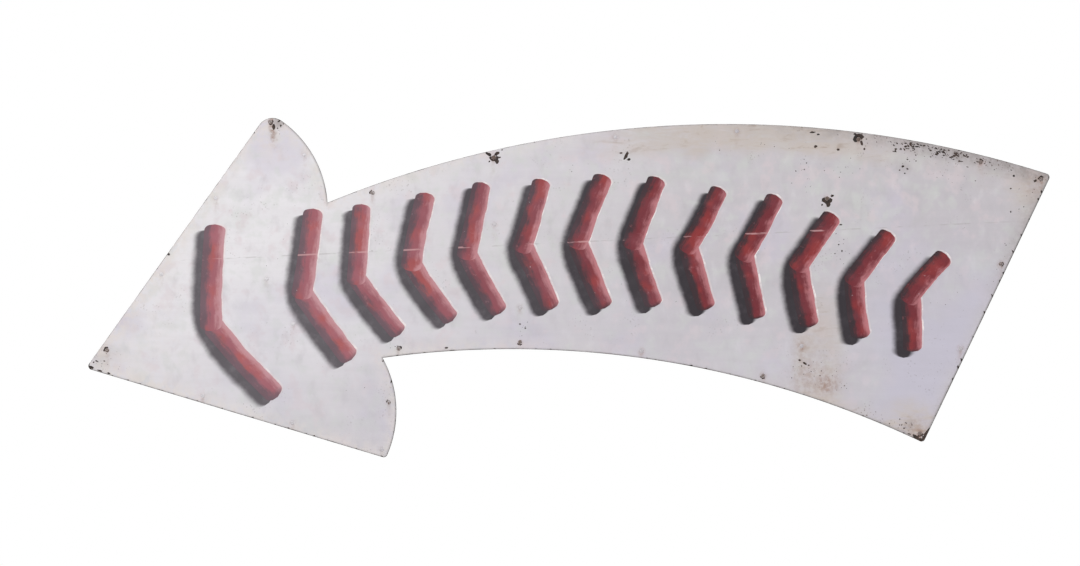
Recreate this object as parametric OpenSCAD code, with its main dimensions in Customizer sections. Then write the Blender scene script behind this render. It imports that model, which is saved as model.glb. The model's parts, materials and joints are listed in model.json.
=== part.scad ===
/* [Arrowhead] */
// Angle between the two straight sides at the tip
tip_angle = 71; // [67:0.5:75]
// Climb of the head's centre line, away from the tip
head_tilt = 18.9; // [15:0.1:23]
// From the sharp tip to the two barb centres, along the head
barb_along = 278; // [265:1:290]
// From the head's centre line to each barb centre
barb_side = 166; // [160:1:174]
// Radius of the rounded back of each barb
barb_r = 170.5; // [164:0.5:177]

/* [Shaft] */
// Radius of the shaft's top edge
top_r = 1650; // [1500:10:1800]
// Highest point of the top edge, to the right of the tip
top_crown_x = 1003; // [970:1:1040]
// Highest point of the top edge, above the tip
top_crown_z = 381; // [370:1:395]
// Radius of the shaft's bottom edge
bottom_r = 1490; // [1350:10:1650]
// Highest point of the bottom edge, to the right of the tip
bottom_crown_x = 668; // [640:1:700]
// Highest point of the bottom edge, above the tip
bottom_crown_z = 30; // [20:1:40]
// Where the tail edge crosses the level of the tip
tail_foot_x = 1366; // [1340:1:1420]
// Lean of the tail edge away from upright
tail_lean = 25.5; // [20:0.5:30]

/* [Sheet] */
// Thickness of the painted steel sheet
sheet_t = 1.5; // [1:0.1:4]
// Radius of the sheet's corners at the tip, the lower barb and the tail
corner_r = 6; // [4:0.5:9]
// Radius of the worn corner of the upper barb
apex_r = 25; // [12:1:30]

/* [Timber frame] */
// Thickness of every frame member, front to back
frame_t = 22; // [20:1:32]
// Width of the rails that follow the outline
rail_w = 45; // [40:1:50]
// Width of the two upright battens
batten_w = 60; // [52:1:70]
// Width of the batten across the head
head_batten_w = 45; // [38:1:50]
// From the head batten to the middle of the nearer lap of a barb rail on a shaft rail
head_batten_gap = 59; // [57:0.5:64]
// How far the frame stands in from the sheet's edge
frame_inset = 3; // [1:0.5:3.5]
// Gap at each shoulder of a half-lap
lap_gap = 0.3; // [0.1:0.1:0.8]
// Overlap of the two lengths of a curved rail
rail_joint_l = 70; // [60:1:76]
// Middle of the top rail's overlap, from the bolt pattern's centre
top_joint_x = 24; // [20:1:28]
// Middle of the bottom rail's overlap, from the bolt pattern's centre
bottom_joint_x = 65; // [60:1:70]

/* [Wall bolts] */
// Spacing of the wall bolts across, from batten to batten
bolt_spacing_x = 480; // [440:5:500]
// Spacing of the wall bolts up each batten
bolt_spacing_z = 150; // [130:5:160]
// Diameter of the bolt holes
bolt_hole_d = 9; // [6.5:0.5:13]
// Diameter of the recess for each bolt head
bolt_recess_d = 20; // [17:0.5:24]
// Depth of the recess for each bolt head
bolt_recess_depth = 5; // [3:0.5:9]
// From the tip to the centre of the bolt pattern
tip_to_bolts_x = 901; // [890:1:910]
// From the tip up to the centre of the bolt pattern
tip_to_bolts_z = 195; // [188:1:202]

/* [Sheet screws] */
// Distance of the edge screws from the sheet's edge
screw_edge = 11; // [9:0.5:14]
// Spacing of the screws along the shaft
screw_pitch = 190; // [180:1:192]
// Screw of the top row next to the bolt pattern's centre
top_screw_x = -71; // [-76:1:-66]
// Screw of the bottom row next to the bolt pattern's centre
bottom_screw_x = -30; // [-35:1:-25]
// First screw of the head's upper side, from the sharp tip
tip_screw_along = 42; // [38:1:55]
// Turn of the barb screws away from the head's centre line
barb_screw_turn = 14; // [8:1:20]
// How far the batten screws stand to either side of a batten's centre line
screw_stagger = 20; // [16:0.5:22]
// Height of the middle of the left batten's two screws
left_screws_z = -35; // [-40:1:-30]
// Half the spacing of the left batten's two screws
left_screws_rise = 65; // [61:1:69]
// Height of the middle of the right batten's two screws
right_screws_z = -45; // [-50:1:-40]
// Half the spacing of the right batten's two screws
right_screws_rise = 115; // [110:1:120]
// Half the spacing of the head batten's two screws
head_screws_rise = 40; // [30:1:45]
// How far the head batten's screws stand to either side of its centre line
head_screw_stagger = 8; // [2:1:12]
// Head diameter of a sheet screw
dome_d = 6.8; // [5.5:0.1:8]
// Head height of a sheet screw
dome_h = 2; // [1.4:0.1:2.4]
// Shank diameter of a sheet screw
dome_shank_d = 3.5; // [2.5:0.1:4.5]
// Length of a sheet screw under its head
dome_shank_l = 16; // [12:0.5:19]

/* [Joint screws] */
// Half the spacing of the two screws in a half-lap
lap_screw_off = 12; // [9:0.5:13]
// Turn of those two screws away from the square of their joint
lap_screw_turn = 45; // [35:1:55]
// Head diameter of a joint screw
sunk_d = 8; // [6:0.2:9]
// Depth of a joint screw's sunk head
sunk_h = 2.4; // [1.6:0.1:3]
// Shank diameter of a joint screw
sunk_shank_d = 4; // [3:0.1:5]
// Length of a joint screw
sunk_l = 18; // [14:0.5:19]

/* [Every screw] */
// Length of the point
point_l = 4; // [2:0.5:6]
// Diameter left at the end of the point
point_d = 0.8; // [0.4:0.1:1.5]
// Width of the driver slot
slot_w = 1; // [0.6:0.1:1.4]
// Depth of the driver slot
slot_deep = 0.8; // [0.4:0.1:1.1]
// Turn of each slot from the one before it
slot_turn = 37; // [0:1:90]
// Clearance of the timber and the sheet around a screw
screw_clear = 0.1; // [0.05:0.05:0.3]

/* [Hidden] */
$fn = 96;
// Facets of the outline's large circles in a preview
arc_fn = 1080;

// Half the side of a square larger than the shaft's circles, for cutting shapes
far = 4000;
// Overshoot of a cutting shape past the face that it opens
past = 1;
// Extra radius with which a rounding's arc crosses its edges instead of grazing them
bite = 0.01;
// Reach of a rounding's waste past the sharp corner, as a share of the radius
waste_reach = 1.5;
// Parts between the screws of the tail edge, and between a barb's corner and the tip
tail_parts = 3;
side_parts = 3;

half_angle = tip_angle / 2;
tip = [-tip_to_bolts_x, -tip_to_bolts_z];
top_c = tip + [top_crown_x, top_crown_z - top_r];
bottom_c = tip + [bottom_crown_x, bottom_crown_z - bottom_r];
tail_foot = tip + [tail_foot_x, 0];
tail_up = [sin(tail_lean), cos(tail_lean)];
tail_out = [cos(tail_lean), -sin(tail_lean)];

batten_x = bolt_spacing_x / 2;
rail_mid = frame_inset + rail_w / 2;
rail_inner = frame_inset + rail_w;
lap_t = frame_t / 2;
sheet_front = frame_t + sheet_t;

// Places in the plane of the sign. A depth d is the distance in from the sheet's edge,
// and s is 1 on the head's upper half and -1 on its lower half.

function turn(p, a) = [p.x * cos(a) - p.y * sin(a), p.x * sin(a) + p.y * cos(a)];
function angle_of(v) = atan2(v.y, v.x);
function unit(v) = v / norm(v);

// The further of the two places where a line through p along v crosses a circle
function line_on_circle(p, v, c, r) =
    let (foot = p + ((c - p) * v) * v, h = norm(c - foot))
    foot + sqrt(r * r - h * h) * v;

// The place where two circles cross, to the left of the way from the first to the second
function circle_on_circle(c1, r1, c2, r2) =
    let (w = c2 - c1, l = norm(w), a = (l * l + r1 * r1 - r2 * r2) / (2 * l))
    c1 + a / l * w + sqrt(r1 * r1 - a * a) / l * [-w.y, w.x];

function on_head(along, side) = tip + turn([along, side], head_tilt);
function along_head(p) = (p - tip) * turn([1, 0], head_tilt);
function side_dir(s) = turn([1, 0], head_tilt + s * half_angle);
function side_out(s) = turn([0, s], head_tilt + s * half_angle);
function barb_c(s) = on_head(barb_along, s * barb_side);

function tip_at(d) = on_head(d / sin(half_angle), 0);
function side_at(s, along, d) = tip + along * side_dir(s) - d * side_out(s);
function barb_at(s, a, d) = barb_c(s) + (barb_r - d) * turn([1, 0], head_tilt + s * a);
function barb_corner(s, d) =
    line_on_circle(side_at(s, 0, d), side_dir(s), barb_c(s), barb_r - d);
function upper_notch(d) = circle_on_circle(barb_c(1), barb_r - d, top_c, top_r - d);
function lower_notch(d) = circle_on_circle(barb_c(-1), barb_r - d, bottom_c, bottom_r + d);
function top_at(x, d) = line_on_circle([x, 0], [0, 1], top_c, top_r - d);
function bottom_at(x, d) = line_on_circle([x, 0], [0, 1], bottom_c, bottom_r + d);
function tail_top(d) = line_on_circle(tail_foot - d * tail_out, tail_up, top_c, top_r - d);
function tail_bottom(d) =
    line_on_circle(tail_foot - d * tail_out, tail_up, bottom_c, bottom_r + d);

// Centre line of the batten across the head. The barb rails keep behind it.
barb_laps_along = min(along_head(upper_notch(rail_mid)), along_head(lower_notch(rail_mid)));
head_batten_along = barb_laps_along - head_batten_gap - head_batten_w / 2;
barb_rails_start = head_batten_along + head_batten_w / 2 + lap_gap;

// Outline of the sign, moved in by a depth

module wedge(d) {
    polygon([tip_at(d), side_at(1, far, d), side_at(-1, far, d)]);
}

module head_shape(d) {
    intersection() {
        wedge(d);
        union() {
            head_strip(0, barb_along);
            for (s = [-1, 1]) translate(barb_c(s)) circle(barb_r - d, $fn = arc_fn);
        }
    }
}

// The shaft starts a distance along the head, inside it
module shaft_shape(d, from) {
    difference() {
        intersection() {
            translate(top_c) circle(top_r - d, $fn = arc_fn);
            head_strip(from, far);
        }
        translate(bottom_c) circle(bottom_r + d, $fn = arc_fn);
        beyond_tail(d);
    }
}

module head_strip(from, to) {
    translate(tip) rotate(head_tilt) translate([from, -far]) square([to - from, 2 * far]);
}

module beyond_tail(d) {
    translate(tail_foot) rotate(-tail_lean) translate([-d, -far]) square([far, 2 * far]);
}

module beyond_side(s, d) {
    translate(tip) rotate(head_tilt + s * half_angle)
        translate([-far, s > 0 ? -d : d - far]) square([2 * far, far]);
}

// What rounding leaves off a corner: c is the rounding's centre, and n1 and n2 point
// from it square to the two edges
module corner_waste(c, n1, n2, r) {
    over = waste_reach * r;
    difference() {
        polygon([c, c + over * n1, c + over / (1 + n1 * n2) * (n1 + n2), c + over * n2]);
        translate(c) circle(r + bite);
    }
}

module all_corner_waste(d) {
    corner_waste(tip_at(corner_r), side_out(1), side_out(-1), corner_r - d);
    for (s = [-1, 1]) {
        r = s > 0 ? apex_r : corner_r;
        c = barb_corner(s, r);
        corner_waste(c, side_out(s), unit(c - barb_c(s)), r - d);
    }
    high = tail_top(corner_r);
    corner_waste(high, tail_out, unit(high - top_c), corner_r - d);
    low = tail_bottom(corner_r);
    corner_waste(low, tail_out, unit(bottom_c - low), corner_r - d);
}

// Places of the screws

side_screws_l = norm(barb_corner(1, screw_edge) - side_at(1, 0, screw_edge));
side_screw_step = (side_screws_l - tip_screw_along) / side_parts;
tail_screw_step = (tail_top(screw_edge) - tail_bottom(screw_edge)) / tail_parts;

edge_screw_points = concat(
    [for (i = [0:side_parts - 1])
        side_at(1, tip_screw_along + i * side_screw_step, screw_edge)],
    [for (i = [1:side_parts - 1])
        side_at(-1, tip_screw_along + i * side_screw_step, screw_edge)],
    [for (s = [-1, 1]) barb_corner(s, screw_edge)],
    [for (s = [-1, 1]) barb_at(s, barb_screw_turn, screw_edge)],
    [for (i = [-2:3]) top_at(top_screw_x + i * screw_pitch, screw_edge)],
    [for (i = [-2:1]) bottom_at(bottom_screw_x + i * screw_pitch, screw_edge)],
    [for (i = [0:tail_parts]) tail_bottom(screw_edge) + i * tail_screw_step]);

batten_screw_points = concat(
    [for (s = [-1, 1])
        on_head(head_batten_along - s * head_screw_stagger, s * head_screws_rise)],
    [for (s = [-1, 1])
        [-batten_x - s * screw_stagger, left_screws_z + s * left_screws_rise]],
    [for (s = [-1, 1])
        [batten_x + s * screw_stagger, right_screws_z + s * right_screws_rise]]);

// Middle of each curved rail's overlap
top_joint = top_at(top_joint_x, rail_mid);
bottom_joint = bottom_at(bottom_joint_x, rail_mid);

// The middle of two screws across a curved rail near such a place, and the angle of the
// rail's width there: c is the rail's centre
function rail_joint_lap(mid, c, along) =
    [mid + turn([0, -along], angle_of(mid - c)), angle_of(mid - c)];

// Each half-lap's middle, and the angle of the line on which its two screws stand.
// In a corner that line runs across the way to the corner, to miss the screw there.
function corner_lap(corner, mid) = [mid, angle_of(mid - corner) + 90];
head_up = turn([0, 1], head_tilt);
head_middle = on_head(head_batten_along, 0);
head_lap_side = head_batten_along * tan(half_angle) - rail_mid / cos(half_angle);

laps = concat(
    [[tip_at(rail_mid), head_tilt]],
    [for (s = [-1, 1]) corner_lap(barb_corner(s, 0), barb_corner(s, rail_mid))],
    [corner_lap(tail_top(0), tail_top(rail_mid))],
    [corner_lap(tail_bottom(0), tail_bottom(rail_mid))],
    [[upper_notch(rail_mid), head_tilt], [lower_notch(rail_mid), head_tilt]],
    [for (s = [-1, 1])
        [on_head(head_batten_along, s * head_lap_side), head_tilt + s * lap_screw_turn]],
    [for (e = [[top_c, top_r - rail_mid], [bottom_c, bottom_r + rail_mid]])
        [line_on_circle(head_middle, head_up, e[0], e[1]), head_tilt + lap_screw_turn]],
    [for (s = [-1, 1]) [top_at(s * batten_x, rail_mid), lap_screw_turn]],
    [for (s = [-1, 1]) [bottom_at(s * batten_x, rail_mid), lap_screw_turn]],
    [for (s = [-1, 1]) rail_joint_lap(top_joint, top_c, s * rail_joint_l / 4)],
    [for (s = [-1, 1]) rail_joint_lap(bottom_joint, bottom_c, s * rail_joint_l / 4)]);

joint_screw_points =
    [for (lap = laps, s = [-1, 1]) lap[0] + s * lap_screw_off * turn([1, 0], lap[1])];

// Standing the drawing up: it is drawn flat, and distances are out from the wall

module plank(from, to) {
    rotate([90, 0, 0]) translate([0, 0, from]) linear_extrude(to - from) children();
}

// Copies of a screw or a hole, with its +Z turned to point out from the wall
module at_points(points, out) {
    for (i = [0:len(points) - 1])
        translate([points[i].x, -out, points[i].y]) rotate([90, 0, 0])
            rotate(i * slot_turn) children();
}

// Screws and their holes

module shank(r, l) {
    cylinder(h = point_l, r1 = point_d / 2, r2 = r);
    translate([0, 0, point_l]) cylinder(h = l - point_l, r = r);
}

module slot(d, z, h) {
    translate([-d, -slot_w / 2, z]) cube([2 * d, slot_w, h]);
}

// Its head sits on the level z = 0 and its shank hangs below
module dome_screw() {
    ball_r = (dome_d * dome_d / 4 + dome_h * dome_h) / (2 * dome_h);
    difference() {
        rotate_extrude() intersection() {
            translate([0, dome_h - ball_r]) circle(ball_r);
            square([dome_d, dome_h]);
        }
        slot(dome_d, dome_h - slot_deep, slot_deep + past);
    }
    translate([0, 0, -dome_shank_l]) shank(dome_shank_d / 2, dome_shank_l);
}

// Its head lies flush with the level z = 0 and its shank points up
module sunk_screw() {
    difference() {
        cylinder(h = sunk_h, r1 = sunk_d / 2, r2 = sunk_shank_d / 2);
        slot(sunk_d, -past, slot_deep + past);
    }
    translate([0, 0, sunk_l]) mirror([0, 0, 1]) shank(sunk_shank_d / 2, sunk_l - sunk_h);
}

module sheet_screw_holes() {
    at_points(concat(edge_screw_points, batten_screw_points), sheet_front)
        translate([0, 0, -dome_shank_l - screw_clear])
            cylinder(h = dome_shank_l + past, r = dome_shank_d / 2 + screw_clear);
}

module joint_screw_holes() {
    at_points(joint_screw_points, 0) {
        translate([0, 0, -screw_clear]) cylinder(h = sunk_h,
            r1 = sunk_d / 2 + screw_clear, r2 = sunk_shank_d / 2 + screw_clear);
        cylinder(h = sunk_l + screw_clear, r = sunk_shank_d / 2 + screw_clear);
    }
}

module wall_bolt_holes() {
    for (x = [-batten_x, batten_x], z = [-bolt_spacing_z / 2, bolt_spacing_z / 2])
        translate([x, 0, z]) rotate([90, 0, 0]) {
            translate([0, 0, -past]) cylinder(h = frame_t + 2 * past, d = bolt_hole_d);
            translate([0, 0, frame_t - bolt_recess_depth])
                cylinder(h = bolt_recess_depth + past, d = bolt_recess_d);
        }
}

// Plans of the frame members. Each runs out to the frame's own edge at both ends.

module head_plan() {
    difference() {
        head_shape(frame_inset);
        all_corner_waste(frame_inset);
    }
}

module shaft_plan() {
    difference() {
        shaft_shape(frame_inset, head_batten_along - head_batten_w / 2);
        all_corner_waste(frame_inset);
    }
}

// The ring of one barb, on its own half of the head and behind the batten across it
module barb_ring(s, grow) {
    intersection() {
        translate(barb_c(s)) difference() {
            circle(barb_r - frame_inset + grow, $fn = arc_fn);
            circle(barb_r - rail_inner - grow, $fn = arc_fn);
        }
        translate(tip) rotate(head_tilt)
            translate([barb_rails_start, s > 0 ? 0 : -far]) square([far, far]);
    }
}

module top_ring(grow) {
    translate(top_c) difference() {
        circle(top_r - frame_inset + grow, $fn = arc_fn);
        circle(top_r - rail_inner - grow, $fn = arc_fn);
    }
}

module bottom_ring(grow) {
    translate(bottom_c) difference() {
        circle(bottom_r + rail_inner + grow, $fn = arc_fn);
        circle(bottom_r + frame_inset - grow, $fn = arc_fn);
    }
}

// A stretch of a curved rail and all beside it, measured from the middle of its overlap
module rail_stretch(mid, c, from, to) {
    translate(mid) rotate(angle_of(mid - c) - 90)
        translate([from, -far]) square([to - from, 2 * far]);
}

module head_batten_strip(grow) {
    head_strip(head_batten_along - head_batten_w / 2 - grow,
        head_batten_along + head_batten_w / 2 + grow);
}

module batten_strip(x, grow) {
    translate([x - batten_w / 2 - grow, -far]) square([batten_w + 2 * grow, 2 * far]);
}

// Half-laps. A member that keeps its front half is cut away behind the plans given as its
// children after the first, and one that keeps its back half in front of them.

module front_lapped() {
    difference() {
        plank(0, frame_t) children(0);
        plank(-past, lap_t) children([1:$children - 1]);
        sheet_screw_holes();
        joint_screw_holes();
    }
}

module back_lapped() {
    difference() {
        plank(0, frame_t) children(0);
        plank(lap_t, frame_t + past) children([1:$children - 1]);
        sheet_screw_holes();
        joint_screw_holes();
    }
}

module timber() {
    color("tan") children();
}

// Pieces

module panel() {
    color("gainsboro") difference() {
        union() {
            plank(frame_t, sheet_front) head_shape(0);
            plank(frame_t, sheet_front) shaft_shape(0, barb_along);
        }
        plank(frame_t - past, sheet_front + past) all_corner_waste(0);
        sheet_screw_holes();
    }
}

module head_upper_rail() {
    timber() front_lapped() {
        intersection() {
            head_plan();
            beyond_side(1, rail_inner);
        }
        beyond_side(-1, rail_inner + lap_gap);
        barb_ring(1, lap_gap);
        head_batten_strip(lap_gap);
    }
}

// This rail keeps its back half at the tip and its front half elsewhere
module head_lower_rail() {
    timber() difference() {
        front_lapped() {
            intersection() {
                head_plan();
                beyond_side(-1, rail_inner);
            }
            barb_ring(-1, lap_gap);
            head_batten_strip(lap_gap);
        }
        plank(lap_t, frame_t + past) beyond_side(1, rail_inner + lap_gap);
    }
}

module upper_barb_rail() {
    timber() back_lapped() {
        difference() {
            intersection() {
                head_plan();
                head_strip(barb_rails_start, far);
            }
            translate(barb_c(1)) circle(barb_r - rail_inner, $fn = arc_fn);
            translate(top_c) circle(top_r - rail_inner, $fn = arc_fn);
        }
        beyond_side(1, rail_inner + lap_gap);
        top_ring(lap_gap);
    }
}

module lower_barb_rail() {
    timber() back_lapped() {
        difference() {
            intersection() {
                head_plan();
                head_strip(barb_rails_start, far);
                translate(bottom_c) circle(bottom_r + rail_inner, $fn = arc_fn);
            }
            translate(barb_c(-1)) circle(barb_r - rail_inner, $fn = arc_fn);
        }
        beyond_side(-1, rail_inner + lap_gap);
        bottom_ring(lap_gap);
    }
}

module head_batten() {
    timber() back_lapped() {
        intersection() {
            wedge(frame_inset);
            head_batten_strip(0);
        }
        beyond_side(1, rail_inner + lap_gap);
        beyond_side(-1, rail_inner + lap_gap);
        top_ring(lap_gap);
        bottom_ring(lap_gap);
    }
}

// The head-end length of a curved rail, which keeps its front half throughout
module head_end_rail(mid, c, s) {
    timber() front_lapped() {
        difference() {
            children(0);
            rail_stretch(mid, c, rail_joint_l / 2, far);
        }
        head_batten_strip(lap_gap);
        barb_ring(s, lap_gap);
        batten_strip(-batten_x, lap_gap);
        rail_stretch(mid, c, -rail_joint_l / 2 - lap_gap, far);
    }
}

// The tail-end length, which keeps its back half in the overlap and its front half elsewhere
module tail_end_rail(mid, c) {
    timber() difference() {
        front_lapped() {
            difference() {
                children(0);
                rail_stretch(mid, c, -far, -rail_joint_l / 2);
            }
            batten_strip(batten_x, lap_gap);
            beyond_tail(rail_inner + lap_gap);
        }
        plank(lap_t, frame_t + past) rail_stretch(mid, c, -far, rail_joint_l / 2 + lap_gap);
    }
}

module top_rail_plan() {
    difference() {
        shaft_plan();
        translate(top_c) circle(top_r - rail_inner, $fn = arc_fn);
    }
}

module bottom_rail_plan() {
    intersection() {
        shaft_plan();
        translate(bottom_c) circle(bottom_r + rail_inner, $fn = arc_fn);
    }
}

module top_rail() {
    head_end_rail(top_joint, top_c, 1) top_rail_plan();
}

module top_end_rail() {
    tail_end_rail(top_joint, top_c) top_rail_plan();
}

module bottom_rail() {
    head_end_rail(bottom_joint, bottom_c, -1) bottom_rail_plan();
}

module bottom_end_rail() {
    tail_end_rail(bottom_joint, bottom_c) bottom_rail_plan();
}

module tail_rail() {
    timber() back_lapped() {
        intersection() {
            shaft_plan();
            beyond_tail(rail_inner);
        }
        top_ring(lap_gap);
        bottom_ring(lap_gap);
    }
}

module upright_batten(x) {
    timber() difference() {
        back_lapped() {
            intersection() {
                shaft_plan();
                batten_strip(x, 0);
            }
            top_ring(lap_gap);
            bottom_ring(lap_gap);
        }
        wall_bolt_holes();
    }
}

module left_batten() {
    upright_batten(-batten_x);
}

module right_batten() {
    upright_batten(batten_x);
}

module edge_screws() {
    color("darkgray") at_points(edge_screw_points, sheet_front) dome_screw();
}

module batten_screws() {
    color("darkgray") at_points(batten_screw_points, sheet_front) dome_screw();
}

module joint_screws() {
    color("dimgray") at_points(joint_screw_points, 0) sunk_screw();
}

panel();
head_upper_rail();
head_lower_rail();
upper_barb_rail();
lower_barb_rail();
head_batten();
top_rail();
top_end_rail();
bottom_rail();
bottom_end_rail();
tail_rail();
left_batten();
right_batten();
edge_screws();
batten_screws();
joint_screws();
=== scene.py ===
import json
import math
import random

import bmesh
import bpy
import numpy as np
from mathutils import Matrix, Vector, kdtree, noise
from mathutils.geometry import delaunay_2d_cdt

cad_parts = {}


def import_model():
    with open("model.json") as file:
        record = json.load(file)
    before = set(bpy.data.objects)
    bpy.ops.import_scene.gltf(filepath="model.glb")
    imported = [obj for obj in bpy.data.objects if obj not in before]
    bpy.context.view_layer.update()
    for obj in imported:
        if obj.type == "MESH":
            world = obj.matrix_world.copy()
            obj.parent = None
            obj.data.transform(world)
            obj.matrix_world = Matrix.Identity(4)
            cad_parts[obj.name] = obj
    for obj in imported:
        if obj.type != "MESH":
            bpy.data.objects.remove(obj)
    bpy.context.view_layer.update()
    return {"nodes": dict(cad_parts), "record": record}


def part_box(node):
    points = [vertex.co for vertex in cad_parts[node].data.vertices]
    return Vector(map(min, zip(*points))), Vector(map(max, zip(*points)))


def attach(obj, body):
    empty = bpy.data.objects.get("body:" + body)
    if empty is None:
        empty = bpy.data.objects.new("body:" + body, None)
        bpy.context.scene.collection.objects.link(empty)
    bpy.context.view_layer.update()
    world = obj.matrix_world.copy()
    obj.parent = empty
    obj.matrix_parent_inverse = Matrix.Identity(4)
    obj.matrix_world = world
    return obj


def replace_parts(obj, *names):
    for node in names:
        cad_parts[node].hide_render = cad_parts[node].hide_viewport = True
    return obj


# An arrow-shaped wall sign: a painted steel sheet on a timber frame.
# Drawings are made flat, in millimetres as (across, up, out from the wall), and then stood up.

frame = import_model()
nodes = frame["nodes"]
print("frame loaded:", len(nodes), "nodes")

millimetre = 0.001
screwNodes = {"edge_screw_heads": "edge_screws", "batten_screw_heads": "batten_screws"}


# The sheet's outline, its holes and the places of its screws come from the frame's own meshes
def weldedMesh(nodeName):
    mesh = bmesh.new()
    mesh.from_mesh(nodes[nodeName].data)
    bmesh.ops.remove_doubles(mesh, verts=mesh.verts, dist=1e-6)
    return mesh


def flat(point):  # from the frame's metres to the drawing's millimetres
    return (point[0] / millimetre, point[2] / millimetre)


def loopsOfFront(nodeName, level):
    # The closed outlines of a node's flat face at a distance out from the wall, longest first
    mesh = weldedMesh(nodeName)
    edges = [(loop.vert.index, loop.link_loop_next.vert.index) for face in mesh.faces
             if all(abs(-v.co.y / millimetre - level) < 0.01 for v in face.verts)
             for loop in face.loops]
    known = set(edges)
    following = dict(e for e in edges if (e[1], e[0]) not in known)
    places = [flat(v.co) for v in mesh.verts]
    mesh.free()
    loops = []
    while following:
        start, here = following.popitem()
        ring = [start]
        while here != start:
            ring.append(here)
            here = following.pop(here)
        loops.append(np.array([places[i] for i in ring]))
    return sorted(loops, key=lambda ring: -len(ring) * np.ptp(ring[:, 0]))


def signedArea(ring):
    x, y = ring[:, 0], ring[:, 1]
    return 0.5 * np.sum(x * np.roll(y, -1) - y * np.roll(x, -1))


def unitRows(rows):
    return rows / np.maximum(np.linalg.norm(rows, axis=1), 1e-9)[:, None]


def mirrored(tangent, chord):  # the tangent at an arc's other end
    return 2 * np.dot(tangent, chord) * chord - tangent


def smoothRing(ring, step, sharpAngle=25, unevenness=4):
    # Points along a closed outline every step, with arcs rounded again between its corners
    chord = np.roll(ring, -1, 0) - ring
    length = np.linalg.norm(chord, axis=1)
    aim = unitRows(chord)
    before, lengthBefore = np.roll(aim, 1, 0), np.roll(length, 1)
    bend = np.degrees(np.arccos(np.clip(np.sum(aim * before, 1), -1, 1)))
    even = np.maximum(length, lengthBefore) / np.minimum(length, lengthBefore) < unevenness
    known = (bend < sharpAngle) & even
    tangent = unitRows(before * length[:, None] + aim * lengthBefore[:, None])
    points = []
    for i, s in enumerate(length):
        j = (i + 1) % len(ring)
        a = b = aim[i]
        if known[i] or known[j]:
            a = tangent[i] if known[i] else mirrored(tangent[j], aim[i])
            b = tangent[j] if known[j] else mirrored(tangent[i], aim[i])
        parts = max(1, round(s / step))
        for t in (k / parts for k in range(parts)):
            points.append(ring[i] * (2 * t**3 - 3 * t**2 + 1) + ring[j] * (3 * t**2 - 2 * t**3)
                          + a * s * (t**3 - 2 * t**2 + t) + b * s * (t**3 - t**2))
    return np.array(points)


def outwardNormals(ring):
    along = unitRows(np.roll(ring, -1, 0) - np.roll(ring, 1, 0))
    return np.stack([along[:, 1], -along[:, 0]], 1) * (1 if signedArea(ring) > 0 else -1)


def islandCentres(nodeName):
    # The middle of each separate solid of a node
    mesh = weldedMesh(nodeName)
    unseen, centres = set(mesh.verts), []
    while unseen:
        reached, wave = set(), [min(unseen, key=lambda v: v.index)]
        while wave:
            vert = wave.pop()
            if vert not in reached:
                reached.add(vert)
                wave += [e.other_vert(vert) for e in vert.link_edges]
        unseen -= reached
        places = np.array([flat(v.co) for v in reached])
        centres.append((places.min(0) + places.max(0)) / 2)
    mesh.free()
    return np.array(sorted(centres, key=lambda c: (c[0], c[1])))


def nearestTree(points):
    tree = kdtree.KDTree(len(points))
    for i, p in enumerate(points):
        tree.insert((p[0], p[1], 0), i)
    tree.balance()
    return tree


panelLow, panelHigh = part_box("panel")
sheetFront = -panelLow.y / millimetre
sheetBack = -panelHigh.y / millimetre
panelLoops = loopsOfFront("panel", sheetFront)
outline = smoothRing(panelLoops[0], 2.5)
holes = panelLoops[1:]
screws = np.concatenate([islandCentres(name) for name in screwNodes.values()])
fineOutline = smoothRing(panelLoops[0], 0.8)
fineNormals = outwardNormals(fineOutline)
edgeTree = nearestTree(fineOutline)
screwTree = nearestTree(screws)
print("outline:", len(outline), "points,", len(holes), "holes,", len(screws), "sheet screws")


# Flat geometry
def nearestEdge(x, y):  # which point of the fine outline, and how far it is
    return edgeTree.find((x, y, 0))[1:]


def nearestScrew(x, y):
    return screws[screwTree.find((x, y, 0))[1]]


def ripple(x, y, size, seed):  # smooth noise from -1 to 1
    return noise.noise((x / size, y / size, seed * 7.31))


def fade(value, low, high):  # 0 at low, 1 at high, smooth between
    t = min(max((value - low) / (high - low), 0), 1)
    return t * t * (3 - 2 * t)


def circle(x, y, radius, count):
    return [(x + radius * math.cos(a), y + radius * math.sin(a))
            for a in np.linspace(0, 2 * math.pi, count, endpoint=False)]


def ringInset(ring, inset):
    return ring - outwardNormals(ring) * inset


def triangulated(rings, extraPoints):
    # Triangles inside the first ring and outside all the others, with extra points inside
    points, faces = [], []
    for ring in rings:
        faces.append(list(range(len(points), len(points) + len(ring))))
        points += [Vector(p) for p in (ring if signedArea(ring) > 0 else ring[::-1])]
    points += [Vector(p) for p in extraPoints]
    cut = delaunay_2d_cdt(points, [], faces, 0, 1e-5)
    triangles = [f for f, origin in zip(cut[2], cut[5]) if list(origin) == [0]]
    used = sorted({i for f in triangles for i in f})
    place = {old: new for new, old in enumerate(used)}
    flatPoints = np.array([cut[0][i][:] for i in used])
    return flatPoints, [tuple(place[i] for i in f) for f in triangles]


def gridPoints(spacing, keepIn, seed, rowShare=0.866, uneven=0.2):
    # A staggered, uneven grid of points, at least a distance inside the sheet's edge
    low, high = outline.min(0), outline.max(0)
    draw = random.Random(seed)
    places = []
    row, y = 0, low[1]
    while y < high[1]:
        x = low[0] + (row % 2) * spacing / 2
        while x < high[0]:
            place = np.array([x + draw.uniform(-uneven, uneven) * spacing,
                              y + draw.uniform(-uneven, uneven) * spacing])
            index, distance = nearestEdge(*place)
            inside = np.dot(place - fineOutline[index], fineNormals[index]) < 0
            if inside and distance > keepIn:
                places.append(place)
            x += spacing
        row, y = row + 1, y + spacing * rowShare
    return places


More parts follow.
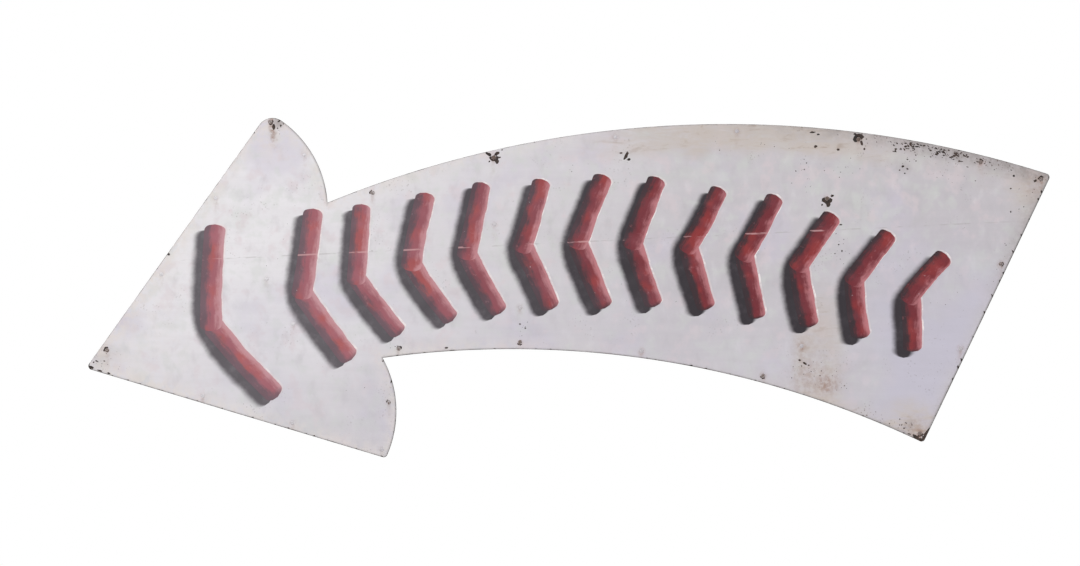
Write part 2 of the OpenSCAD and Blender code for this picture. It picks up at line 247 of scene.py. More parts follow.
def boundaryEdges(triangles):
    seen = set()
    for f in triangles:
        for a, b in ((f[0], f[1]), (f[1], f[2]), (f[2], f[0])):
            seen.add((a, b))
    return [e for e in seen if (e[1], e[0]) not in seen]


# Meshes and pieces
def stoodUp(points):  # the drawing's millimetres to the frame's metres
    points = np.asarray(points, float)
    return np.stack([points[:, 0], -points[:, 2], points[:, 1]], 1) * millimetre


def vectorsOf(items, key):
    values = np.empty(len(items) * 3, np.float32)
    items.foreach_get(key, values)
    return values.reshape(-1, 3).astype(float)


def floatAttribute(mesh, name, values):
    attribute = mesh.attributes.new(name, "FLOAT", "POINT")
    attribute.data.foreach_set("value", np.asarray(values, np.float32))


def smooth(mesh):
    mesh.polygons.foreach_set("use_smooth", [True] * len(mesh.polygons))


def standUp(mesh, places):
    # Puts a flat-drawn mesh in the frame's metres, with its faces outward
    mesh.vertices.foreach_set("co", stoodUp(places).astype(np.float32).ravel())
    solid = bmesh.new()
    solid.from_mesh(mesh)
    bmesh.ops.recalc_face_normals(solid, faces=solid.faces)
    solid.to_mesh(mesh)
    solid.free()


def pieceFromMesh(name, mesh):
    mesh.name = name
    piece = bpy.data.objects.new(name, mesh)
    bpy.context.scene.collection.objects.link(piece)
    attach(piece, "root")
    return piece


def newPiece(name, vertices, faces, materials):
    mesh = bpy.data.meshes.new(name)
    mesh.from_pydata([tuple(v) for v in stoodUp(vertices)], [], faces)
    mesh.validate()
    for material in materials:
        mesh.materials.append(material)
    return pieceFromMesh(name, mesh)


# Materials: a colour is a node's socket, or red, green and blue as seen on a screen, 0 to 255
def isSocket(value):
    return isinstance(value, bpy.types.NodeSocket)


def add(tree, kind, inputs=None, **settings):
    node = tree.nodes.new(kind)
    for key, value in settings.items():
        setattr(node, key, value)
    for key, value in (inputs or {}).items():
        if isSocket(value):
            tree.links.new(value, node.inputs[key])
        else:
            node.inputs[key].default_value = value
    return node


def output(tree, kind, inputs=None, **settings):  # a new node's first output
    return add(tree, kind, inputs, **settings).outputs[0]


def colour(red, green, blue):
    def linear(c):
        return c / 12.92 if c <= 0.04045 else ((c + 0.055) / 1.055) ** 2.4
    return tuple(linear(c / 255) for c in (red, green, blue)) + (1.0,)


def weight(tree, name):
    return add(tree, "ShaderNodeAttribute", attribute_name=name).outputs["Fac"]


def maths(operation, a, b=0.0, clamp=False):
    tree = (a if isSocket(a) else b).id_data
    return output(tree, "ShaderNodeMath", {0: a, 1: b}, operation=operation, use_clamp=clamp)


def times(a, b):
    return maths("MULTIPLY", a, b)


def plus(a, b):
    return maths("ADD", a, b)


def centred(value, amount):
    return times(maths("SUBTRACT", value, 0.5), amount)


def mixed(share, a, b):
    shades = {key: v if isSocket(v) else colour(*v) for key, v in {6: a, 7: b}.items()}
    return add(share.id_data, "ShaderNodeMix", {0: share, **shades}, data_type="RGBA").outputs[2]


def stepped(value, low, high, toLow=0.0, toHigh=1.0):
    return output(value.id_data, "ShaderNodeMapRange",
                  {0: value, 1: low, 2: high, 3: toLow, 4: toHigh},
                  interpolation_type="SMOOTHSTEP")


def placed(tree, scale=(1, 1, 1), turn=(0, 0, 0), move=(0, 0, 0)):
    where = add(tree, "ShaderNodeTexCoord").outputs["Object"]
    return output(tree, "ShaderNodeMapping",
                  {"Vector": where, "Scale": scale, "Rotation": turn, "Location": move})


def noisy(where, scale, detail, roughness, distortion=0.0):
    return add(where.id_data, "ShaderNodeTexNoise", {
        "Vector": where, "Scale": scale, "Detail": detail, "Roughness": roughness,
        "Distortion": distortion}).outputs["Fac"]


def newMaterial(name, roughness=0.6, metallic=0.0, specular=0.5):
    material = bpy.data.materials.new(name)
    material.use_nodes = True
    shader = material.node_tree.nodes["Principled BSDF"]
    shader.inputs["Roughness"].default_value = roughness
    shader.inputs["Metallic"].default_value = metallic
    shader.inputs["Specular IOR Level"].default_value = specular
    return material, material.node_tree


def finished(material, base, rough, relief, depth, strength):
    # The material with its colour, roughness and relief linked
    tree = material.node_tree
    bump = output(tree, "ShaderNodeBump",
                  {"Height": relief, "Distance": depth, "Strength": strength})
    for name, socket in (("Base Color", base), ("Roughness", rough), ("Normal", bump)):
        if socket is not None:
            tree.links.new(socket, tree.nodes["Principled BSDF"].inputs[name])
    return material


# The steel sheet
sheetLook = {
    "bulge": 0.7,  # how far the sheet stands off the frame between its screws
    "bulgeSize": 170,  # width of a bulge
    "screwPull": 42,  # reach of each screw's pull on the sheet
    "edgeRound": 0.45,
    "edgeSteps": 4,
    "holeSides": 14,
    "grid": 11,
    "keepIn": 4,
    "gridSeed": 11,
    "paintThickness": 0.2,
    "steel": ((34, 30, 29), (66, 52, 46), (98, 72, 58)),  # where the paint is gone
    "back": ((120, 116, 112), (146, 140, 132)),
    "backRust": ((118, 90, 70), (104, 66, 44), (64, 42, 32)),  # runs, blooms and their middles
}


def bulge(x, y):
    pull = 1 - math.exp(-(screwTree.find((x, y, 0))[2] / sheetLook["screwPull"]) ** 2)
    return sheetLook["bulge"] * pull * (0.5 + 0.5 * ripple(x, y, sheetLook["bulgeSize"], 3))


def twoSided(flatPoints, triangles, front, back):
    # Vertices, faces and bulges of a layer's front and back
    bulges = [bulge(x, y) for x, y in flatPoints]
    vertices = [(x, y, level + d) for level in (front, back)
                for (x, y), d in zip(flatPoints, bulges)]
    count = len(flatPoints)
    faces = triangles + [(c + count, b + count, a + count) for a, b, c in triangles]
    return vertices, faces, bulges


def bareSteelMaterial():
    material, tree = newMaterial("bare_steel", metallic=0.35)
    dark, brown, rust = sheetLook["steel"]
    coarse = noisy(placed(tree), 60, 6, 0.7)
    fine = noisy(placed(tree), 420, 4, 0.6)
    base = mixed(stepped(coarse, 0.35, 0.65), dark, brown)
    base = mixed(stepped(fine, 0.5, 0.7, 0, 0.5), base, rust)
    return finished(material, base, stepped(fine, 0.2, 0.8, 0.55, 0.85), plus(coarse, fine),
                    0.0004, 0.6)


def sheetBackMaterial():
    material, tree = newMaterial("sheet_back", metallic=0.1)
    runRust, bloomRust, darkRust = sheetLook["backRust"]
    bloom = noisy(placed(tree), 38, 6, 0.7)
    runs = noisy(placed(tree, (45, 45, 5)), 1, 4, 0.6)
    base = mixed(stepped(noisy(placed(tree), 7, 5, 0.6), 0.35, 0.65), *sheetLook["back"])
    base = mixed(stepped(runs, 0.52, 0.72, 0, 0.55), base, runRust)
    base = mixed(stepped(bloom, 0.56, 0.66, 0, 0.9), base, bloomRust)
    base = mixed(stepped(bloom, 0.66, 0.74, 0, 0.9), base, darkRust)
    return finished(material, base, stepped(bloom, 0.4, 0.7, 0.5, 0.9), bloom, 0.0006, 0.5)


def sheetPiece():
    look = sheetLook
    edgeRound, steps = look["edgeRound"], look["edgeSteps"]
    front = sheetFront - look["paintThickness"]
    holeRings = [ring[::max(1, len(ring) // look["holeSides"])] for ring in holes]
    flatPoints, triangles = triangulated(
        [ringInset(outline, edgeRound)] + holeRings,
        gridPoints(look["grid"], look["keepIn"], look["gridSeed"]))
    vertices, faces, bulges = twoSided(flatPoints, triangles, front, sheetBack)
    count = len(flatPoints)
    edges = boundaryEdges(triangles)
    atRim = {a: nearestEdge(*flatPoints[a])[1] <= 2 for a, b in edges}
    # The walls of the screw holes
    faces += [(b, a, a + count, b + count) for a, b in edges if not atRim[a]]
    # The rounded rim
    nextOf = dict(edges)
    ordered = [next(a for a, b in edges if atRim[a])]
    while nextOf[ordered[-1]] != ordered[0]:
        ordered.append(nextOf[ordered[-1]])
    rim = flatPoints[ordered]
    outward = outwardNormals(rim)
    layers = [ordered]
    for k in range(1, steps):
        turn = k / steps * math.pi
        level = front - (front - sheetBack) * (1 - math.cos(turn)) / 2
        pushed = rim + outward * (edgeRound * math.sin(turn))
        layers.append(list(range(len(vertices), len(vertices) + len(ordered))))
        vertices += [(x, y, level + bulges[i]) for i, (x, y) in zip(ordered, pushed)]
    layers.append([i + count for i in ordered])
    for upper, lower in zip(layers, layers[1:]):
        for i in range(len(ordered)):
            j = (i + 1) % len(ordered)
            faces.append((upper[j], upper[i], lower[i], lower[j]))
    piece = newPiece("steel_sheet", vertices, faces,
                     [bareSteelMaterial(), sheetBackMaterial()])
    slots = [0] * len(triangles) + [1] * len(triangles)
    slots += [0] * (len(faces) - len(slots))
    piece.data.polygons.foreach_set("material_index", slots)
    smooth(piece.data)
    return piece


sheet = sheetPiece()
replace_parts(sheet, "panel")
print("steel sheet:", len(sheet.data.polygons), "faces")


# The ground paint
paintLook = {
    "grid": 6.5,
    "keepIn": 7,
    "gridSeed": 12,
    "edgeRows": (1.2, 2.2, 3.4, 5.2),  # closer rows of points along the edge
    "screwRows": (5, 8),  # and round each screw
    "headHole": 2.4,
    "wornEdge": 0.5,  # bare rim left all round by wear
    "chipSeed": 21,
    "ragged": 0.28,  # unevenness of a chip's outline
    "smallest": 0.7,  # speck
    "scuff": (0.0467, 0.0083),  # slope of the long scuff, and its height in metres
    "colours": {
        # The ground where lit, and the ground in painted shade towards the lower right
        "light": (229, 226, 229),
        "dull": (193, 188, 193),
        "lavender": (200, 193, 208),
        "greenish": (204, 208, 202),
        "pinkish": (214, 200, 204),
        "dabbed": (172, 167, 171),
        "dabbedPale": (226, 223, 226),
        "brushed": (150, 145, 150),
        "cream": (221, 212, 206),
        "grime": (158, 151, 150),
        "rust": (150, 120, 106),
        # Grey of the band at the edge: grime all round, and painted shade on right-facing and
        # bottom edges
        "rim": (142, 138, 138),
        "speck": (92, 70, 60),
        "cool": (194, 190, 203),
        "beige": (194, 184, 178),
        "brown": (168, 152, 142),
    },
}
groundColours = paintLook["colours"]


def scuffed(tree, half):
    # One long straight scuff across the sign, broken up by noise
    slope, height = paintLook["scuff"]
    spot = add(tree, "ShaderNodeSeparateXYZ", {0: placed(tree)}).outputs
    off = maths("SUBTRACT", spot["Z"], plus(times(spot["X"], slope), height))
    patchy = noisy(placed(tree, (24, 1, 90)), 1, 3, 0.6)
    return times(stepped(maths("ABSOLUTE", off), half, half * 1.8, 1, 0),
                 stepped(patchy, 0.46, 0.56))


def brushMarks(tree):
    return noisy(placed(tree, (9, 60, 70), (0, 0.12, 0)), 1, 4, 0.6)


def groundMottle(tree):
    return noisy(placed(tree), 70, 5, 0.65)


def groundBase(tree):
    # The aged paint's colour, one wash over another
    mottle = groundMottle(tree)
    patches = noisy(placed(tree), 9, 3, 0.55)
    patchesToo = noisy(placed(tree, move=(4, 0, 7)), 12, 4, 0.6)
    tints = noisy(placed(tree, move=(9, 0, 2)), 34, 3, 0.55)
    dabs = noisy(placed(tree, (44, 44, 30), (0, 0.5, 0), (1, 0, 3)), 1, 4, 0.55, 0.15)
    drawn = noisy(placed(tree, (20, 60, 80), (0, 0.15, 0)), 1, 5, 0.7, 0.8)
    runs = noisy(placed(tree, (60, 60, 9)), 1, 4, 0.6)
    blotches = noisy(placed(tree, move=(2, 0, 5)), 130, 4, 0.65)
    rusty = times(weight(tree, "rust"), stepped(runs, 0.25, 0.6, 0.3, 1))
    washes = (
        ("lavender", stepped(patches, 0.5, 0.7, 0, 0.5)),
        ("greenish", stepped(patchesToo, 0.54, 0.72, 0, 0.4)),
        ("pinkish", stepped(tints, 0.52, 0.68, 0, 0.45)),
        ("greenish", stepped(tints, 0.48, 0.32, 0, 0.35)),
        ("dabbed", stepped(dabs, 0.5, 0.75, 0, 0.26)),
        ("dabbedPale", stepped(dabs, 0.48, 0.25, 0, 0.24)),
        ("cool", times(weight(tree, "cool"), stepped(patches, 0.3, 0.6, 0.4, 1))),
        ("brushed", stepped(brushMarks(tree), 0.35, 0.7, 0, 0.07)),
        ("grime", times(scuffed(tree, 0.0007), 0.35)),
        ("cream", times(weight(tree, "cream"), stepped(mottle, 0.35, 0.6))),
        ("beige", times(weight(tree, "beige"), stepped(drawn, 0.3, 0.6, 0.35, 1))),
        ("brown", times(weight(tree, "beige"), stepped(drawn, 0.56, 0.7, 0, 0.8))),
        ("grime", times(weight(tree, "grime"), stepped(mottle, 0.3, 0.65, 0.35, 1))),
        ("rust", times(rusty, stepped(blotches, 0.4, 0.6, 0.3, 1.25))),
        # Painted shade and grime along the rim, darker on right-facing and bottom edges
        ("rim", weight(tree, "rim")),
    )
    # Painted shade: from the lit ground to the shaded ground, darker towards the lower right
    base = mixed(weight(tree, "dull"), groundColours["light"], groundColours["dull"])
    for name, share in washes:
        base = mixed(share, base, groundColours[name])
    return base


def groundPaintMaterial():
    material, tree = newMaterial("ground_paint", roughness=0.55, specular=0.35)
    here = placed(tree)
    mottle = groundMottle(tree)
    cells = add(tree, "ShaderNodeTexVoronoi", {"Vector": here, "Scale": 210}).outputs["Distance"]
    dots = plus(cells, centred(noisy(here, 700, 3, 0.6), 0.55))
    few = stepped(noisy(here, 26, 2, 0.5), 0.56, 0.7)
    spotted = times(times(stepped(dots, 0.16, 0.24, 1, 0), few), weight(tree, "specks"))
    base = mixed(spotted, groundBase(tree), groundColours["speck"])
    relief = plus(times(brushMarks(tree), 0.6), times(mottle, 0.5))
    return finished(material, base, stepped(mottle, 0.3, 0.7, 0.42, 0.66), relief, 0.0003, 0.28)


# Torn rings by the screws: near which screw (across, up), the ring's start and end in degrees,
# and its outer radius
tornScrews = [
    ((-607, 190), -120, 40, 5.2), ((-262, 134), 150, 400, 7.2), ((260, 70), 150, 380, 9.0),
    ((309, 162), -10, 250, 8.5), ((593, 99), 30, 190, 5.5), ((404, -296), 210, 370, 5.5),
    ((-868, -167), 60, 210, 5.5), ((-425, -248), 90, 200, 4.6), ((160, -206), 180, 330, 5.0),
    ((-220, -154), 200, 320, 5.5), ((-410, -165), -20, 160, 5.0), ((499, 126), 10, 120, 5.5),
    ((530, -32), -80, 60, 5.0), ((-451, 79), 100, 210, 5.0),
]

# Other chips: across, up, length, width and lean
knocks = [
    (-54, 137, 13, 6, 60), (-50, 131, 6, 4, 20), (-62, 141, 5, 2.5, 10),
    (-606, 182, 4.5, 9, 0), (-598, 191, 5, 3, 30), (-595, 184, 2.5, 4, 0), (-603, 197, 4, 2, 10),
    (-591, 187, 2, 2.6, 0), (-600, 180, 2, 3, 0),
    (-269, 139, 10, 5.5, -35), (-256, 140, 9, 5, 48), (-256, 128, 6, 8, 25), (-252, 134, 4, 3, 0),
    (-277, 145, 4, 2, 0), (-248, 146, 3, 2, 20), (-268, 128, 3, 2, 40),
    (262, 62, 11, 7, 70), (268, 74, 5, 4, 10), (252, 60, 4, 3, 40),
    (273, 34, 8, 3.5, 30), (281, 29, 5, 2.5, 10), (277, 38, 3, 2, 0),
    (278, -2, 3, 2, 0), (283, -12, 2.4, 3, 0), (272, -16, 2, 2, 0),
    (314, 156, 4.5, 9, 20), (304, 170, 7, 3, -10), (318, 147, 3, 4, 0),
    (398, -301, 12, 5, -25), (383, -280, 4, 2, -30),
    (376, -283, 3, 2, 20), (388, -297, 5, 2, -20), (380, -288, 3, 2, 0), (392, -283, 2, 2, 0),
    (378, 120, 5, 3.4, 20), (385, 116, 4, 2.6, -30), (373, 114, 3, 2, 0), (381, 109, 2.6, 2, 0),
    (584, 97, 5, 4, 20), (551, 105, 3.6, 3, 0), (546, 85, 3, 2.4, 0), (546, 49, 2.6, 3, 0),
    (-335, -163, 5, 3, 10), (-220, -126, 3, 2.6, 0), (-212, -132, 2, 3, 0),
    (225, -187, 8, 3, -30), (217, -182, 4, 3, 0), (231, -190, 3, 2, 0),
    (-771, -17, 5, 4, 50), (-780, -24, 3, 2, 50),
    (237, 173, 10, 3, 5), (246, 170, 5, 3, 0), (242, 151, 5, 4, 30), (277, 146, 4.6, 4, 0),
    (-884, -184, 5, 2.4, -20), (-872, -184, 3, 2, 0), (-892, -194, 9, 3.4, -17),
    (-879, -199, 8, 3, -17), (-865, -203, 5, 2.6, -17), (-889, -186, 3, 2.4, 60),
]

# Speckled places: across, up, spread across, spread up, how many, and the largest speck
speckled = [
    (225, 105, 16, 46, 16, 2.4), (-882, -184, 22, 8, 12, 1.8), (388, 130, 12, 7, 10, 3.2),
    (262, -222, 30, 8, 12, 2.2), (-862, -196, 40, 5, 8, 1.6), (232, -194, 26, 12, 12, 2.2),
    (470, 100, 50, 25, 14, 2.0), (570, 60, 18, 40, 14, 2.2), (540, -20, 20, 45, 10, 2.0),
    (290, 120, 50, 20, 12, 1.8), (240, -205, 45, 12, 16, 2.4), (380, -280, 30, 12, 16, 2.6),
    (280, -10, 14, 30, 14, 2.0), (-215, -135, 12, 18, 8, 1.8), (-600, 180, 14, 9, 8, 1.8),
    (-640, 40, 80, 70, 8, 1.4), (0, -60, 230, 60, 14, 1.4), (160, 150, 90, 12, 12, 1.8),
    (-420, -160, 20, 6, 6, 1.8), (-860, -170, 22, 8, 8, 1.6), (450, -100, 50, 60, 8, 1.6),
    (381, -141, 14, 14, 9, 2.2), (-480, -200, 80, 60, 6, 1.4), (-150, 120, 90, 20, 8, 1.6),
]

# Speckles along the top edge: across, spread, how many, and the largest
edgeSpeckled = [(388, 13, 44, 4.6), (432, 20, 76, 5.0), (470, 12, 34, 4.4), (345, 24, 12, 2.8),
                (505, 16, 10, 3.0), (556, 26, 12, 3.0)]

# Strips worn bare along the rim: near which place, how far along it, and how deep
wornStrips = [(412, -304, 19, 5.5), (-893, -193, 7, 1.8)]


def blob(x, y, long, wide, angle, draw, corners=11):
    # An irregular closed outline about a place
    lean = math.radians(angle)
    points = []
    for i in range(corners):
        a = 2 * math.pi * i / corners
        r = 1 + paintLook["ragged"] * draw.uniform(-1, 1)
        px, py = long / 2 * r * math.cos(a), wide / 2 * r * math.sin(a)
        points.append((x + px * math.cos(lean) - py * math.sin(lean),
                       y + px * math.sin(lean) + py * math.cos(lean)))
    return np.array(points)


def tornRing(x, y, inner, outer, start, end, draw, corners=9):
    # Part of a ring of bare metal round a screw head, torn at its outside
    angles = [math.radians(start + (end - start) * i / (corners - 1)) for i in range(corners)]
    outside = [outer * (1 + 0.16 * draw.uniform(-1, 1)) for _ in angles[1:-1]]
    radii = [max(r, inner + 0.4) for r in [0, *outside, 0]]
    radii += [inner * (1 + 0.05 * draw.uniform(-1, 1)) for _ in angles[1:-1]]
    return np.array([(x + r * math.cos(a), y + r * math.sin(a))
                     for a, r in zip(angles + angles[-2:0:-1], radii)])


def wornStrip(x, y, reach, depth, draw):
    run = [i for i, p in enumerate(fineOutline) if math.dist(p, (x, y)) < reach]
    outer = [fineOutline[i] + fineNormals[i] for i in run]
    inner = []
    for k, i in enumerate(run):
        taper = math.sin(math.pi * (k + 0.5) / len(run)) ** 0.5
        inner.append(fineOutline[i] - fineNormals[i] * depth * taper * draw.uniform(0.75, 1.15))
    return np.array(outer + inner[::-1])


def chipRings():
    # The outlines of all the places where the paint is gone
    draw = random.Random(paintLook["chipSeed"])
    rings = []
    for place, start, end, outer in tornScrews:
        rings.append(tornRing(*nearestScrew(*place), 3.5, outer, start, end, draw))
    rings += [blob(*knock, draw) for knock in knocks]
    smallest = paintLook["smallest"]
    for x, y, across, up, count, largest in speckled:
        for _ in range(count):
            size = smallest + (largest - smallest) * draw.random() ** 2.2
            rings.append(blob(draw.gauss(x, across / 2), draw.gauss(y, up / 2), size,
                              size * draw.uniform(0.5, 1), draw.uniform(0, 180), draw, 7))
    top = fineOutline[fineNormals[:, 1] > 0.85]
    for x, spread, count, largest in edgeSpeckled:
        for _ in range(count):
            edge = top[np.argmin(np.abs(top[:, 0] - draw.gauss(x, spread)))]
            size = 0.9 + (largest - 0.9) * draw.random() ** 1.7
            depth = 2.2 + size / 2 + abs(draw.gauss(0, 7.5))
            rings.append(blob(edge[0] - 0.25 * depth, edge[1] - depth, size * 1.3,
                              size * draw.uniform(0.4, 0.8), draw.uniform(-60, 10), draw, 8))
    # Knocks along the rim, where bare metal reaches the edge
    i = draw.randint(20, 60)
    while i < len(fineOutline):
        out = fineNormals[i]
        low = max(0, -out[1]) + max(0, out[0])  # bottom edges and right-hand edges wear most
        length = draw.uniform(2, 4) + 7 * low * draw.random() ** 2
        depth = draw.uniform(1.2, 2.2) + 1.6 * low * draw.random()
        angle = math.degrees(math.atan2(out[0], -out[1]))
        rings.append(blob(*fineOutline[i], length, depth, -angle, draw, 9))
        i += int(draw.uniform(20, 95) / (0.45 + low))
    return rings + [wornStrip(*strip, draw) for strip in wornStrips]


def wornOutline():
    ring = []
    for (x, y), out in zip(outline, outwardNormals(outline)):
        low = max(0, -out[1]) + 0.5 * max(0, out[0])
        inset = paintLook["wornEdge"] * (0.8 + 0.8 * ripple(x, y, 9, 5) + 0.7 * low)
        ring.append(np.array([x, y]) - out * max(inset, 0.1))
    return np.array(ring)


# Round stains: kind, across, up, squeeze across and up, reach, softness and strength
stains = [
    ("cream", -611, 165, 1, 0.7, 40, 40, 0.45),
    ("grime", -600, 189, 1, 1, 13, 9, 0.8),
    ("grime", 380, 117, 1, 1, 15, 12, 0.5),
    ("grime", 388, -284, 1, 1, 13, 10, 0.5),
    ("rust", 586, 95, 1, 1, 44, 44, 0.25),
    ("rust", 398, -292, 1, 1, 38, 38, 0.35),
    ("rust", 240, -208, 0.8, 1.4, 60, 60, 0.2),
    ("rust", 262, -222, 0.7, 1, 20, 14, 0.4),
    ("beige", 575, 80, 1, 0.8, 52, 52, 0.8),
    ("beige", -880, -178, 0.8, 1, 44, 44, 0.5),
]

paintWeightNames = ("dull", "cream", "grime", "rust", "specks", "rim", "beige", "cool")


def paintWeights(x, y):
    # How much painted shade and random tone, how creamy, grimy, rusty and speckled the paint is,
    # how much painted shade and grime lie along its rim, and how beige and cool it is
    index, distance = nearestEdge(x, y)
    across, up = fineNormals[index]  # which way the nearest edge faces
    low, right = max(0, -up), max(0, across)
    found = dict.fromkeys(paintWeightNames, 0.0)
    for kind, atX, atY, squeezeX, squeezeY, reach, softness, strength in stains:
        away = math.hypot((x - atX) * squeezeX, (y - atY) * squeezeY)
        found[kind] += strength * fade(reach - away, 0, softness)
    # Painted shade: darker from the upper left towards the lower right and at the foot of the
    # arrowhead, as if lit from the upper left, with a little random tone
    found["dull"] += fade(x - 0.55 * y, -760, 120) * 0.86 + 0.14 * fade(x, 0, 500)
    found["dull"] += 0.12 * ripple(x, y, 150, 8) + 0.22 * fade(-y, 120, 240) * fade(-x, 260, 400)
    found["cream"] += 0.25 * fade(-x, 640, 890)
    found["cream"] += 0.5 * fade(26 - distance, 0, 26) * fade(-x, -100, 500)
    if up > 0.5:  # the top edge
        found["grime"] += (fade(30 - distance, 0, 30) * fade(x, 60, 330)
                           * (0.75 + 0.4 * ripple(x, y, 25, 9)))
        found["grime"] += (0.7 * fade(26 - distance, 0, 18) * fade(x, 340, 400)
                           * fade(-x, -530, -470) * (0.55 + 0.6 * ripple(x, y, 18, 21)))
        reach = 56 + 16 * ripple(x, y, 40, 13)
        found["beige"] += (fade(reach - distance, 0, 30) * fade(x, -190, 60)
                           * (1 - 0.75 * fade(x, 240, 420)))
    # The tail's edges, and its lower corner
    found["grime"] += 0.7 * fade(34 - distance, 0, 34) * fade(x, 480, 600)
    found["grime"] += (0.75 * fade(150 - math.hypot(x - 410, y + 303), 0, 110)
                       * fade(7 - distance, 0, 6) * (0.75 + 0.5 * ripple(x, y, 14, 27)))
    found["beige"] += (fade(56 - math.hypot(x - 388, y + 280), 0, 40)
                       * (0.8 + 0.5 * ripple(x, y, 11, 23)))
    found["beige"] += 0.5 * fade(24 - distance, 0, 24) * low * fade(x, 60, 330)
    # Runs at the apex and down the shaft, a short one below each screw, and a ring round it
    found["rust"] += 0.8 * fade(5 - abs(x + 609 + 0.12 * (y - 185)), -1, 4) * fade(y, 138, 172)
    found["rust"] += 0.14 * fade(x, 196, 212) * fade(-x, -300, -214) * fade(-y, 60, 150)
    found["beige"] += 0.6 * fade(x, 200, 222) * fade(-x, -300, -262) * fade(-y, 45, 110)
    screwX, screwY = nearestScrew(x, y)
    below = screwY - y
    if 0 < below < 40:
        found["rust"] += 0.3 * fade(3.5 - abs(x - screwX), -1, 3) * fade(40 - below, 0, 40)
    found["rust"] += ((0.1 + 0.15 * fade(x, -400, -100))
                      * fade(9 - math.hypot(x - screwX, below), 0, 5))
    found["specks"] += 0.25 + 0.75 * fade(30 - distance, 0, 30) * fade(x, 0, 400)
    # A grey band within about 3 mm of the edge: a little grime all round, and painted shade on
    # right-facing and bottom edges, darker towards the tail
    found["rim"] += (fade(3.4 - distance, 0, 2.6) * min(1, right * 0.9 + low * 0.55 + 0.18)
                     * (0.55 + 0.45 * fade(x, -500, 500)))
    found["cool"] += 0.7 * fade(x, 240, 380) * fade(-y, -60, 110) + 0.25 * fade(-y, 20, 120)
    return [min(max(v, 0), 1) for v in found.values()]


def giveWeights(mesh, places):
    weights = np.array([paintWeights(x, y) for x, y in places])
    for name, column in zip(paintWeightNames, weights.T):
        floatAttribute(mesh, name, np.tile(column, len(mesh.vertices) // len(places)))


def paintPiece():
    look = paintLook
    headHoles = [np.array(circle(*screw, look["headHole"], 16)) for screw in screws]
    extra = gridPoints(look["grid"], look["keepIn"], look["gridSeed"])
    for inset in look["edgeRows"]:
        extra += list(ringInset(outline, inset)[::2])
    for screw in screws:
        for radius in look["screwRows"]:
            extra += circle(*screw, radius, 14)
    flatPoints, triangles = triangulated([wornOutline()] + headHoles + chipRings(), extra)
    vertices, faces, _ = twoSided(flatPoints, triangles, sheetFront,
                                  sheetFront - sheetLook["paintThickness"])
    count = len(flatPoints)
    faces += [(b, a, a + count, b + count) for a, b in boundaryEdges(triangles)]
    piece = newPiece("ground_paint", vertices, faces, [groundPaintMaterial()])
    giveWeights(piece.data, flatPoints)
    return piece


paint = paintPiece()
print("ground paint:", len(paint.data.polygons), "faces")


# Geometry Nodes
def newTree(name, inputs):
    # A node group with named inputs and their defaults, and what it is given
    tree = bpy.data.node_groups.new(name, "GeometryNodeTree")
    tree.interface.new_socket("Geometry", in_out="INPUT", socket_type="NodeSocketGeometry")
    for label, (kind, value) in inputs.items():
        made = tree.interface.new_socket(label, in_out="INPUT", socket_type="NodeSocket" + kind)
        if value is not None:
            made.default_value = value
    tree.interface.new_socket("Geometry", in_out="OUTPUT", socket_type="NodeSocketGeometry")
    return tree, add(tree, "NodeGroupInput").outputs


def closedTree(tree, geometry, material):
    solid = output(tree, "GeometryNodeRealizeInstances", {0: geometry})
    solid = output(tree, "GeometryNodeSetMaterial", {0: solid, "Material": material})
    add(tree, "NodeGroupOutput", {"Geometry": solid})
    return tree


def grown(tree, source, values):
    # The plain mesh that a tree makes from a source mesh, with its named inputs set
    carrier = bpy.data.objects.new("carrier", source)
    bpy.context.scene.collection.objects.link(carrier)
    modifier = carrier.modifiers.new("grow", "NODES")
    modifier.node_group = tree
    for item in tree.interface.items_tree:
        if item.item_type == "SOCKET" and item.name in values:
            modifier[item.identifier] = values[item.name]
    bpy.context.view_layer.update()
    view = bpy.context.evaluated_depsgraph_get()
    mesh = bpy.data.meshes.new_from_object(carrier.evaluated_get(view),
                                           preserve_all_data_layers=True, depsgraph=view)
    bpy.data.objects.remove(carrier)
    return mesh


def guideMesh(name, places, edges=(), **attributes):
    mesh = bpy.data.meshes.new(name)
    mesh.from_pydata([tuple(p) for p in places], list(edges), [])
    for label, values in attributes.items():
        floatAttribute(mesh, label, values)
    return mesh


def stored(geometry, name, value, kind="FLOAT"):
    return output(geometry.id_data, "GeometryNodeStoreNamedAttribute",
                  {0: geometry, "Name": name, "Value": value}, data_type=kind, domain="POINT")


def recalled(tree, name):
    return output(tree, "GeometryNodeInputNamedAttribute", {"Name": name}, data_type="FLOAT")


def position(tree):
    return output(tree, "GeometryNodeInputPosition")


